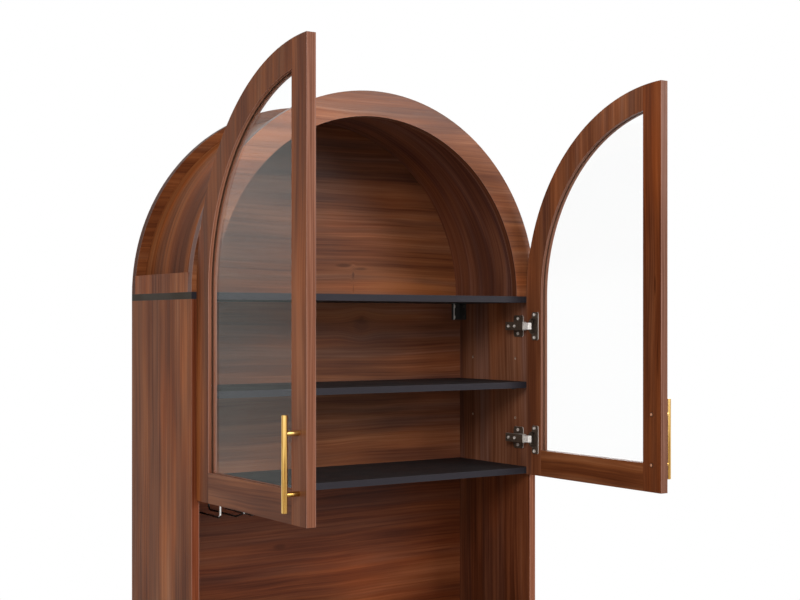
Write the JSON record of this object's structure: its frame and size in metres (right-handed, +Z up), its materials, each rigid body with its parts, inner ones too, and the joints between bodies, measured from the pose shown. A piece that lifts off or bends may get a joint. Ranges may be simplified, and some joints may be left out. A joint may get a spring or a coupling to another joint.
{
  "type": "arched display cabinet",
  "caption": "Tall walnut board cabinet with a round arched top, arched glass doors on cup hinges, black shelves, a bent arch shell and a wire rack for stemmed glasses.",
  "frame": {"origin": "on the floor, in the middle of the underside of the plinth board, mid width", "axes": "+X to the cabinet's right as seen from the front, +Y from the front to the back, +Z up"},
  "size_m": [0.8444, 0.6759, 1.8],
  "materials": {
    "walnut": "satin walnut laminate on board",
    "black_board": "matt black laminate on board",
    "dowel_wood": "plain beech",
    "bright_steel": "nickel plate",
    "black_wire": "black powder coat",
    "glass": "clear, slightly grey",
    "brass": "polished",
    "copper_steel": "copper coloured plate"
  },
  "bodies": {
    "carcass": {"side_panel_right": "walnut", "side_panel_left": "walnut", "back_panel": "walnut", "plinth": "walnut", "arch_front_ring": "walnut", "arch_back_plate": "walnut", "arch_back_lining": "walnut", "arch_shell": "walnut", "arch_end_strip_right": "walnut", "arch_end_strip_left": "walnut", "top_board": "black_board", "lower_board": "black_board", "counter_board": "black_board", "bottom_board": "black_board", "middle_shelf": "black_board", "low_shelf": "black_board", "board_dowels": "dowel_wood", "shelf_pins": "bright_steel", "corner_brackets": "bright_steel", "corner_bracket_screws": "bright_steel", "rack_screws": "bright_steel", "hinge_plates": "bright_steel", "hinge_plate_screws": "bright_steel", "hinge_arms": "bright_steel", "hinge_arm_screws": "bright_steel", "hinge_arm_pins": "bright_steel", "rack_hanger_wires": "black_wire", "rack_rail_wires": "black_wire", "rack_strip_front": "black_wire", "rack_strip_back": "black_wire"},
    "links_right": {"hinge_links_right": "bright_steel"},
    "links_left": {"hinge_links_left": "bright_steel"},
    "door_right": {"door_hinge_stile_right": "walnut", "door_free_stile_right": "walnut", "door_bottom_rail_right": "walnut", "door_glass_right": "glass", "handle_bar_right": "brass", "handle_posts_right": "brass", "handle_screws_right": "copper_steel", "hinge_cups_right": "bright_steel", "hinge_cup_pins_right": "bright_steel", "hinge_cup_screws_right": "bright_steel"},
    "door_left": {"door_hinge_stile_left": "walnut", "door_free_stile_left": "walnut", "door_bottom_rail_left": "walnut", "door_glass_left": "glass", "handle_bar_left": "brass", "handle_posts_left": "brass", "handle_screws_left": "copper_steel", "hinge_cups_left": "bright_steel", "hinge_cup_pins_left": "bright_steel", "hinge_cup_screws_left": "bright_steel"}
  },
  "joints": [
    {"name": "hinge_links_right", "type": "hinge", "parent": "carcass", "child": "links_right", "pos_m": [0.37215, -0.0222, 1.2175], "axis": [0, 0, 1], "range_deg": [-0.5, 47.1]},
    {"name": "door_right", "type": "hinge", "parent": "links_right", "child": "door_right", "pos_m": [0.3764, -0.0411, 1.2175], "axis": [0, 0, 1], "range_deg": [-136.6, 0]},
    {"name": "hinge_links_left", "type": "hinge", "parent": "carcass", "child": "links_left", "pos_m": [-0.37215, -0.0222, 1.2175], "axis": [0, 0, -1], "range_deg": [-0.5, 47.1]},
    {"name": "door_left", "type": "hinge", "parent": "links_left", "child": "door_left", "pos_m": [-0.3764, -0.0411, 1.2175], "axis": [0, 0, -1], "range_deg": [-136.6, 0]}
  ],
  "couplings": [
    {"joint": "hinge_links_right", "follows": "door_right", "ratio": -0.34114},
    {"joint": "hinge_links_left", "follows": "door_left", "ratio": -0.34114}
  ]
}
